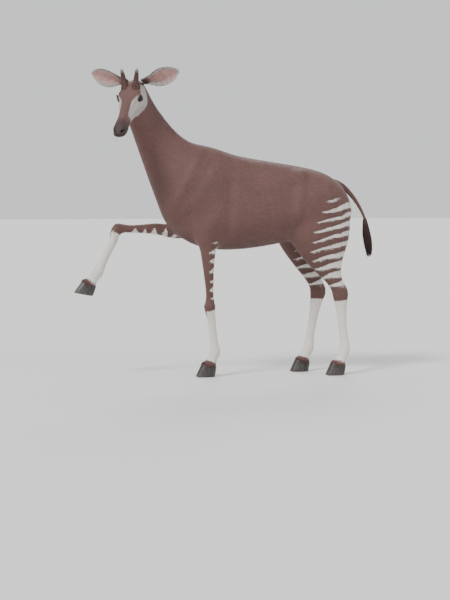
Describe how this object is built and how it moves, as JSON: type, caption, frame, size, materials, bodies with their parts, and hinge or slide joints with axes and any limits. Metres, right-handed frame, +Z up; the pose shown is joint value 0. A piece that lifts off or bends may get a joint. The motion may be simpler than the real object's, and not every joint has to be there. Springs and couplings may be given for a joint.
{
  "type": "okapi, life-size museum model",
  "caption": "Life-size still model of a bull okapi standing on three feet with a foreleg raised, the head turned aside to the viewer and the tail swung clear.",
  "frame": {"origin": "on the floor, under the middle of the whole animal's box", "axes": "+Z up from the floor, -X ahead along the trunk, -Y to the animal's left, the side its head is turned to"},
  "size_m": [1.9933, 0.6214, 1.96],
  "materials": {
    "coat": "short velvety hair, chocolate brown with a reddish cast, striped white on the haunches and upper legs",
    "stocking": "short white hair on the lower legs with a dark band over the hoof",
    "horn_sheath": "dark skin and short hair with a bare tip",
    "claw": "dark grey horn, satin",
    "eye": "wet gloss, very dark brown",
    "tuft": "long dark brown hair"
  },
  "bodies": {
    "root": {"head": "coat", "neck": "coat", "torso": "coat", "ear_left": "coat", "ear_right": "coat", "eye_left": "eye", "eye_right": "eye", "ossicone_left": "horn_sheath", "ossicone_right": "horn_sheath", "left_fore_upper_leg": "coat", "left_fore_lower_leg": "stocking", "left_fore_claw_outer": "claw", "left_fore_claw_inner": "claw", "right_fore_upper_leg": "coat", "right_fore_lower_leg": "stocking", "right_fore_claw_outer": "claw", "right_fore_claw_inner": "claw", "left_hind_upper_leg": "coat", "left_hind_lower_leg": "stocking", "left_hind_claw_outer": "claw", "left_hind_claw_inner": "claw", "right_hind_upper_leg": "coat", "right_hind_lower_leg": "stocking", "right_hind_claw_outer": "claw", "right_hind_claw_inner": "claw", "tail_dock": "coat", "tail_tuft": "tuft"}
  },
  "joints": []
}
